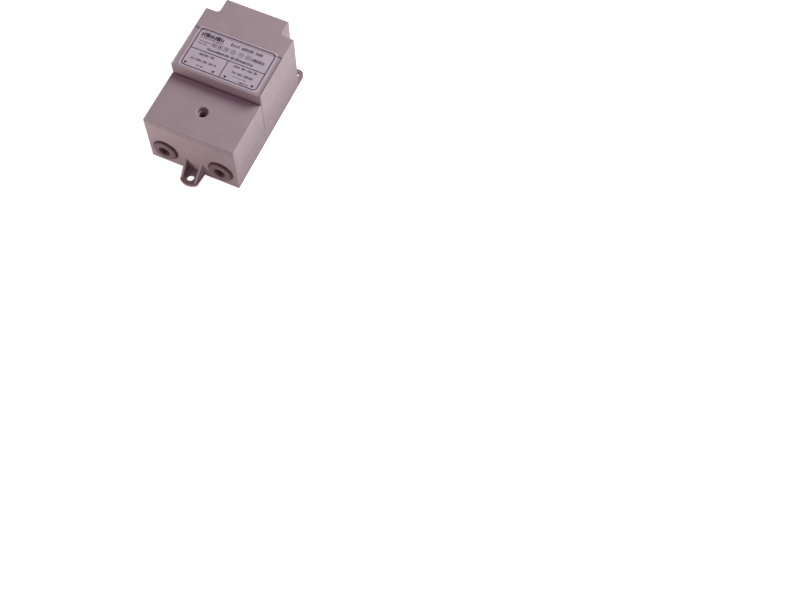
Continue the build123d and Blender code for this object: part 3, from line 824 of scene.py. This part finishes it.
def middle_of(element: bmesh.types.BMVert | bmesh.types.BMEdge | bmesh.types.BMFace) -> Vector:
    """Place of a vertex, or the middle of the corners of an edge or a face.

    Args:
        element: Vertex, edge or face.

    Returns:
        The place.
    """
    if isinstance(element, bmesh.types.BMVert):
        return element.co
    return sum((vert.co for vert in element.verts), Vector()) / len(element.verts)


def settle_order(mesh: bmesh.types.BMesh) -> None:
    """Puts a bmesh's elements in order of their place, because some operators leave it to chance.

    Args:
        mesh: Shape whose vertices, edges and faces are put in order.
    """
    for elements in (mesh.verts, mesh.edges, mesh.faces):
        order = sorted(elements, key=lambda element: middle_of(element)[:])
        ranks = {element: rank for rank, element in enumerate(order)}
        elements.sort(key=ranks.__getitem__)
        elements.index_update()


@dataclass(frozen=True)
class FilmTop:
    """Upper face of the label's film: low in the recess, then a ramp up over the recess's rear edge."""

    low: float
    high: float
    ramp_foot: float
    ramp_head: float

    def lift(self, y: float) -> float:
        """Height of the film above its low part, at a place along the label."""
        climbed = (y - self.ramp_foot) / (self.ramp_head - self.ramp_foot)
        return (self.high - self.low) * min(1.0, max(0.0, climbed))


@dataclass(frozen=True)
class PrintRow:
    """Row of print: where it starts, how long, tall and bold it is, and how many strokes make a word."""

    left: Place
    length_mm: float
    height_mm: float
    weight: float = 0.6
    word: tuple[int, int] = (4, 9)


class PrintSheet:
    """Flat ink shapes, gathered in one bmesh, then laid over the film and given the ink's thickness."""

    CORNER_STEPS = 8
    ROUND_SIDES = 28
    # Size that leaves a shape as large as it was made
    AS_MADE: Place = (1 / MM, 1 / MM)
    # Pitch of the strokes as a share of their height, and a word gap as a share of the pitch
    STROKE_PITCH = 0.42
    WORD_GAP = 1.2
    STROKE_HEIGHTS = (1.0, 0.78, 0.78, 0.9)
    STROKE_WIDTHS: Range = (0.75, 1.25)

    def __init__(self, film: FilmTop, thickness: float) -> None:
        """Starts an empty sheet.

        Args:
            film: Upper face of the film that is printed on.
            thickness: Thickness of the ink.
        """
        self.mesh = bmesh.new()
        self.film = film
        self.thickness = thickness

    def at(self, place: Place, size: Place, turn: float = 0.0) -> Matrix:
        """Matrix that puts a unit shape on the label.

        Args:
            place: Middle of the shape, in millimetres.
            size: Its width and length, in millimetres.
            turn: Its turn about the upright axis, in radians.

        Returns:
            The matrix.
        """
        middle = Matrix.Translation((place[0] * MM, place[1] * MM, self.film.low))
        stretch = Matrix.Diagonal((size[0] * MM, size[1] * MM, 1.0, 1.0))
        return middle @ Matrix.Rotation(turn, 4, "Z") @ stretch

    def bar(self, place: Place, size: Place) -> list[bmesh.types.BMVert]:
        """Adds a plain bar.

        Args:
            place: Middle of the bar, in millimetres.
            size: Its width and length, in millimetres.

        Returns:
            The bar's corners.
        """
        return bmesh.ops.create_grid(
            self.mesh, x_segments=1, y_segments=1, size=0.5, matrix=self.at(place, size)
        )["verts"]

    def disc(self, place: Place, radius_mm: float, sides: int, turn: float = 0.0) -> bmesh.types.BMFace:
        """Adds a disc, or with few sides a triangle or a square.

        Args:
            place: Middle of the disc, in millimetres.
            radius_mm: Its radius.
            sides: How many sides it has.
            turn: Its turn, in radians.

        Returns:
            The disc's face.
        """
        rim = bmesh.ops.create_circle(
            self.mesh,
            cap_ends=True,
            segments=sides,
            radius=radius_mm * MM,
            matrix=self.at(place, self.AS_MADE, turn),
        )["verts"]
        return rim[0].link_faces[0]

    def outline(self, face: bmesh.types.BMFace, line_mm: float) -> None:
        """Cuts the middle out of a face, so that only a line along its edge is left.

        Args:
            face: Face to hollow out.
            line_mm: Width of the line.
        """
        bmesh.ops.inset_region(
            self.mesh, faces=[face], thickness=line_mm * MM, use_boundary=True, use_even_offset=True
        )
        bmesh.ops.delete(self.mesh, geom=[face], context="FACES")

    def rounded_frame(self, low: Place, high: Place, corner_mm: float, line_mm: float) -> None:
        """Adds a frame line with rounded corners.

        Args:
            low: Lowest corner of its outer edge, in millimetres.
            high: Highest corner of its outer edge, in millimetres.
            corner_mm: Radius of its outer corners.
            line_mm: Width of the line.
        """
        middle = ((low[0] + high[0]) / 2, (low[1] + high[1]) / 2)
        size = (high[0] - low[0], high[1] - low[1])
        rounded = bmesh.ops.bevel(
            self.mesh,
            geom=self.bar(middle, size),
            offset=corner_mm * MM,
            offset_type="OFFSET",
            affect="VERTICES",
            segments=self.CORNER_STEPS,
            profile=0.5,
            material=-1,
        )
        face = max(rounded["verts"][0].link_faces, key=lambda f: f.calc_area())
        self.outline(face, line_mm)

    def ring(self, place: Place, radius_mm: float, line_mm: float) -> None:
        """Adds a ring of that outer radius and line width around a place."""
        self.outline(self.disc(place, radius_mm, self.ROUND_SIDES), line_mm)

    def square(self, place: Place, radius_mm: float, line_mm: float) -> None:
        """Adds a square outline, with that distance from the middle to its corners, around a place."""
        self.outline(self.disc(place, radius_mm, 4, math.pi / 4), line_mm)

    def pointer(self, place: Place, width_mm: float) -> None:
        """Adds a solid triangle that points to the front."""
        self.disc(place, width_mm / math.sqrt(3), 3, math.pi)

    def strokes(self, row: PrintRow, draw: random.Random) -> None:
        """Adds a row of upright strokes in word-like clumps, which reads as print but spells nothing.

        Args:
            row: Place, size and weight of the row.
            draw: Source of the stroke sizes.
        """
        pitch = row.height_mm * self.STROKE_PITCH
        across = 0.0
        left_in_word = draw.randint(*row.word)
        while across < row.length_mm:
            if left_in_word == 0:
                left_in_word = draw.randint(*row.word)
                across += pitch * self.WORD_GAP
                continue
            tall = row.height_mm * draw.choice(self.STROKE_HEIGHTS)
            wide = pitch * row.weight * draw.uniform(*self.STROKE_WIDTHS)
            middle = (row.left[0] + across + pitch / 2, row.left[1] + (tall - row.height_mm) / 2)
            self.bar(middle, (wide, tall))
            across += pitch
            left_in_word -= 1

    def finish(self, name: str) -> None:
        """Lays the ink over the film, thickens it and makes the piece.

        Args:
            name: Name of the piece.
        """
        for fold in (self.film.ramp_foot, self.film.ramp_head):
            everything = self.mesh.verts[:] + self.mesh.edges[:] + self.mesh.faces[:]
            bmesh.ops.bisect_plane(self.mesh, geom=everything, plane_co=(0, fold, 0), plane_no=(0, 1, 0))
        for vert in self.mesh.verts:
            vert.co.z += self.film.lift(vert.co.y)
        flat = bmesh.ops.extrude_face_region(self.mesh, geom=self.mesh.faces[:])
        raised = [v for v in flat["geom"] if isinstance(v, bmesh.types.BMVert)]
        bmesh.ops.translate(self.mesh, verts=raised, vec=(0, 0, self.thickness))
        bmesh.ops.recalc_face_normals(self.mesh, faces=self.mesh.faces[:])
        settle_order(self.mesh)
        add_piece(name, self.mesh, LABEL_INK)


@dataclass
class RatingLabel:
    """Printed film in the recess: frame lines, rows of stand-in print, plain marks and wiring pointers."""

    film_mm: float = 0.2
    overlap_mm: float = 1.9
    ramp_mm: float = 1.5
    frame_low: Place = (-33.8, -1.3)
    frame_high: Place = (33.8, 37.2)
    frame_corner_mm: float = 3.4
    frame_line_mm: float = 0.85
    divider_y_mm: float = 16.6
    divider_x_mm: float = 0.75
    divider_line_mm: float = 0.75
    # Middle and size of the two bars of the wiring line
    wiring_bars: tuple[tuple[Place, Place], ...] = (((16.0, 4.2), (12.6, 0.35)), ((22.1, 3.5), (0.35, 1.4)))
    pointer_places: tuple[Place, ...] = ((-30.5, 1.8), (-5.6, 1.8), (5.0, 1.7), (29.1, 2.0))
    pointer_width_mm: float = 2.9
    mark_y_mm: float = 25.3
    mark_radius_mm: float = 2.3
    mark_line_mm: float = 0.38
    square_x_mm: tuple[float, ...] = (-16.5, -11.2, -5.8)
    square_spread: float = 1.2
    square_core_mm: float = 1.5
    ring_x_mm: tuple[float, ...] = (0.6, 7.3, 13.9)
    ring_core: float = 0.45
    ink_mm: float = 0.02
    seed: int = 7
    # From the rear to the front
    rows: tuple[PrintRow, ...] = (
        PrintRow((-31.0, 32.2), 20.0, 4.0, 0.82, (12, 14)),
        PrintRow((-30.8, 28.9), 19.8, 1.1, 0.7),
        PrintRow((-4.6, 31.8), 28.4, 3.2),
        PrintRow((-30.0, 25.6), 10.4, 1.2),
        PrintRow((-30.0, 23.1), 8.2, 1.2),
        PrintRow((16.9, 25.1), 12.7, 3.2),
        PrintRow((-20.4, 20.0), 40.4, 2.5, word=(18, 24)),
        PrintRow((-24.2, 13.6), 14.0, 2.3, 0.64),
        PrintRow((-28.7, 7.5), 22.5, 2.3),
        PrintRow((-21.2, 2.5), 5.9, 1.3),
        PrintRow((6.8, 13.9), 19.9, 2.3, 0.64),
        PrintRow((7.9, 8.0), 17.8, 2.3),
        PrintRow((17.7, 1.0), 7.8, 1.4, 0.7),
    )

    def sheet(self) -> PrintSheet:
        """Starts an empty sheet on top of the film.

        Returns:
            The sheet.
        """
        low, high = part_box("rating_label")
        head = high.y - self.overlap_mm * MM
        film = FilmTop(low.z + self.film_mm * MM, high.z, head - self.ramp_mm * MM, head)
        return PrintSheet(film, self.ink_mm * MM)

    def build_lines(self) -> None:
        """Builds the frame, the dividers and the wiring line."""
        lines = self.sheet()
        lines.rounded_frame(self.frame_low, self.frame_high, self.frame_corner_mm, self.frame_line_mm)
        middle_x = (self.frame_low[0] + self.frame_high[0]) / 2
        inner_width = self.frame_high[0] - self.frame_low[0] - self.frame_line_mm
        lines.bar((middle_x, self.divider_y_mm), (inner_width, self.divider_line_mm))
        front = self.frame_low[1] + self.frame_line_mm / 2
        half = (self.divider_y_mm + front) / 2
        lines.bar((self.divider_x_mm, half), (self.divider_line_mm, self.divider_y_mm - front))
        for middle, size in self.wiring_bars:
            lines.bar(middle, size)
        lines.finish("label_lines")

    def build_marks(self) -> None:
        """Builds the plain squares and rings, and the wiring pointers."""
        marks = self.sheet()
        for x in self.square_x_mm:
            marks.square((x, self.mark_y_mm), self.mark_radius_mm * self.square_spread, self.mark_line_mm)
            marks.bar((x, self.mark_y_mm), (self.square_core_mm, self.square_core_mm))
        for x in self.ring_x_mm:
            marks.ring((x, self.mark_y_mm), self.mark_radius_mm, self.mark_line_mm)
            marks.ring((x, self.mark_y_mm), self.mark_radius_mm * self.ring_core, self.mark_line_mm)
        for place in self.pointer_places:
            marks.pointer(place, self.pointer_width_mm)
        marks.finish("label_marks")

    def build_print(self) -> None:
        """Builds the rows of stand-in print."""
        draw = random.Random(self.seed)
        sheet = self.sheet()
        for row in self.rows:
            sheet.strokes(row, draw)
        sheet.finish("label_print")

    def build(self) -> None:
        """Builds the printed pieces."""
        self.build_lines()
        self.build_marks()
        self.build_print()

    def dress(self) -> None:
        """Gives the film its finish."""
        give_finish("rating_label", LABEL_FILM)


@dataclass
class Enclosure:
    """Housing, terminal cover and base plate, with their screws and the grommets in the front wall."""

    mouldings: tuple[str, ...] = ("housing", "base_plate")
    cover: str = "terminal_cover"
    grommets: tuple[str, ...] = ("grommet_left", "grommet_right")
    cover_screw: str = "cover_screw"
    base_screws: str = "base_screws"

    def dress(self) -> None:
        """Gives each piece its finish."""
        for node in self.mouldings:
            give_finish(node, HOUSING_GREY)
        give_finish(self.cover, COVER_GREY)
        for node in self.grommets:
            give_finish(node, GROMMET_RUBBER)
        give_finish(self.cover_screw, DARK_WELL_STEEL)
        give_finish(self.base_screws, PLATED_STEEL)


@dataclass
class Transformer:
    """Core, coil and what is fixed to them, inside the tall block."""

    core: tuple[str, ...] = ("core_e_sheets", "core_i_sheets")
    core_fasteners: tuple[str, ...] = ("core_bolts", "core_nuts")
    windings: tuple[str, ...] = ("primary_winding", "secondary_winding")
    tapes: tuple[str, ...] = ("primary_tape", "secondary_tape")
    former: str = "coil_former"
    cutout: str = "thermal_cutout"
    tags: str = "solder_tags"

    def dress(self) -> None:
        """Gives each piece its finish."""
        for nodes, finish in (
            (self.core, CORE_SHEETS),
            (self.core_fasteners, PLATED_STEEL),
            (self.windings, COPPER_TURNS),
            (self.tapes, TAPE_WRAP),
        ):
            for node in nodes:
                give_finish(node, finish)
        give_finish(self.former, FORMER_BLACK)
        give_finish(self.cutout, CUTOUT_BLACK)
        give_finish(self.tags, TERMINAL_BRASS)


@dataclass
class TerminalBay:
    """Terminal blocks, cable clamps and leads under the cover."""

    windings: tuple[str, ...] = ("primary", "secondary")
    screws: tuple[str, ...] = ("block_screws", "cable_clamp_screws")
    cable_clamps: tuple[str, ...] = ("cable_clamp_left", "cable_clamp_right")

    def dress(self) -> None:
        """Gives each piece its finish."""
        for winding in self.windings:
            give_finish(f"{winding}_terminal_block", TERMINAL_CREAM)
            give_finish(f"{winding}_clamps", TERMINAL_BRASS)
            give_finish(f"{winding}_clamp_screws", PLATED_STEEL)
        give_finish("primary_leads", BROWN_LEAD)
        give_finish("secondary_leads", BLACK_LEAD)
        for node in self.screws:
            give_finish(node, PLATED_STEEL)
        for node in self.cable_clamps:
            give_finish(node, HOUSING_GREY)


@dataclass(frozen=True)
class SoftLamp:
    """Soft box: where it stands, how large and strong it is, and its tint."""

    name: str
    place: Point
    size: float
    power: float
    tint: Colour


@dataclass
class Studio:
    """Pale floor, soft lamps, surroundings and the camera at the photograph's angle."""

    aim: Point = (0.0, 0.0, 0.03)
    floor_size: float = 8.0
    floor_gap_mm: float = 0.05
    floor_colour: Colour = (0.75, 0.75, 0.75)
    floor_lift: float = 1.03
    floor_grain_mm: float = 1.0
    floor_mottle_mm: float = 400.0
    floor_roughness: float = 0.9
    floor_glow: float = 0.85
    surround: Colour = (1.0, 0.69, 0.815)
    surround_strength: float = 0.325
    camera_place: Point = (0.39291, -0.53550, 0.97361)
    camera_tilt_deg: float = 26.477
    camera_turn_deg: float = 24.0995
    camera_lens_mm: float = 63.423
    camera_sensor_mm: float = 36.0
    camera_reach: Range = (0.01, 50.0)
    lamps: tuple[SoftLamp, ...] = (
        SoftLamp("key_lamp", (0.714, 0.63, 0.736), 0.67, 13.8, (0.888, 1.0, 0.956)),
        SoftLamp("fill_lamp", (-0.11, -0.19, 0.03), 0.075, 0.134, (0.975, 1.0, 0.93)),
        SoftLamp("side_lamp", (0.49, -0.18, 0.05), 0.10, 0.34, (0.93, 1.0, 0.94)),
    )

    def floor_paper(self) -> bpy.types.Material:
        """Makes the floor's paper, which glows to the camera alone, so that it stays pale round the part.

        Returns:
            The material.
        """
        material, board, shader = new_material("floor_paper")
        grain = board.group(
            Effects.mould_grain(),
            Vector=board.place(),
            Grain_Scale=scale_for(self.floor_grain_mm),
            Mottle_Scale=scale_for(self.floor_mottle_mm),
        )
        lighter = tuple(c * self.floor_lift for c in self.floor_colour)
        board.fill(shader["Base Color"], board.blend(grain["Tone"], self.floor_colour, lighter))
        board.fill(shader["Roughness"], self.floor_roughness)
        board.fill(shader["Specular IOR Level"], 0.0)
        board.fill(shader["Emission Color"], WHITE)
        seen = board.add("LightPath").outputs["Is Camera Ray"]
        board.fill(shader["Emission Strength"], board.calc("MULTIPLY", seen, self.floor_glow))
        return material

    def build_floor(self) -> None:
        """Lays the floor just under the part."""
        mesh = bmesh.new()
        bmesh.ops.create_grid(mesh, x_segments=1, y_segments=1, size=self.floor_size / 2)
        bmesh.ops.translate(mesh, verts=mesh.verts[:], vec=(0, 0, -self.floor_gap_mm * MM))
        floor = put_in_scene("floor", mesh_data("floor", mesh, self.floor_paper()))

    def build_lamps(self) -> None:
        """Hangs the soft boxes, aimed at the part."""
        for lamp in self.lamps:
            light = bpy.data.lights.new(lamp.name, "AREA")
            light.shape = "DISK"
            light.size = lamp.size
            light.energy = lamp.power
            light.color = lamp.tint
            holder = put_in_scene(lamp.name, light)
            holder.location = lamp.place
            direction = Vector(self.aim) - Vector(lamp.place)
            holder.rotation_euler = direction.to_track_quat("-Z", "Y").to_euler()
            holder.visible_camera = False

    def build_surround(self) -> None:
        """Sets dim surroundings, which are white to the camera alone."""
        world = bpy.data.worlds.new("surroundings")
        world.use_nodes = True
        board = ShaderBoard(world.node_tree)
        backdrop = next(node for node in board.tree.nodes if node.type == "BACKGROUND")
        dim = tuple(c * self.surround_strength for c in self.surround)
        seen = board.add("LightPath").outputs["Is Camera Ray"]
        board.fill(backdrop.inputs["Color"], board.blend(seen, dim, WHITE))
        bpy.context.scene.world = world

    def build_camera(self) -> None:
        """Sets up the camera where the photograph was taken from."""
        lens = bpy.data.cameras.new("camera")
        lens.sensor_width = self.camera_sensor_mm
        lens.lens = self.camera_lens_mm
        lens.clip_start, lens.clip_end = self.camera_reach
        camera = put_in_scene("camera", lens)
        camera.location = self.camera_place
        tilt, turn = math.radians(self.camera_tilt_deg), math.radians(self.camera_turn_deg)
        camera.rotation_euler = (tilt, 0.0, turn)
        bpy.context.scene.camera = camera

    def build(self) -> None:
        """Builds the whole studio."""
        self.build_floor()
        self.build_lamps()
        self.build_surround()
        self.build_camera()
        view = bpy.context.scene.view_settings
        view.view_transform = "Standard"
        view.look = "None"


def main() -> None:
    """Builds and dresses the sub-assemblies in order."""
    logging.basicConfig(level=logging.INFO, format="%(message)s")
    Enclosure().dress()
    label = RatingLabel()
    label.dress()
    label.build()
    Transformer().dress()
    TerminalBay().dress()
    Studio().build()


if __name__ == "__main__":
    main()
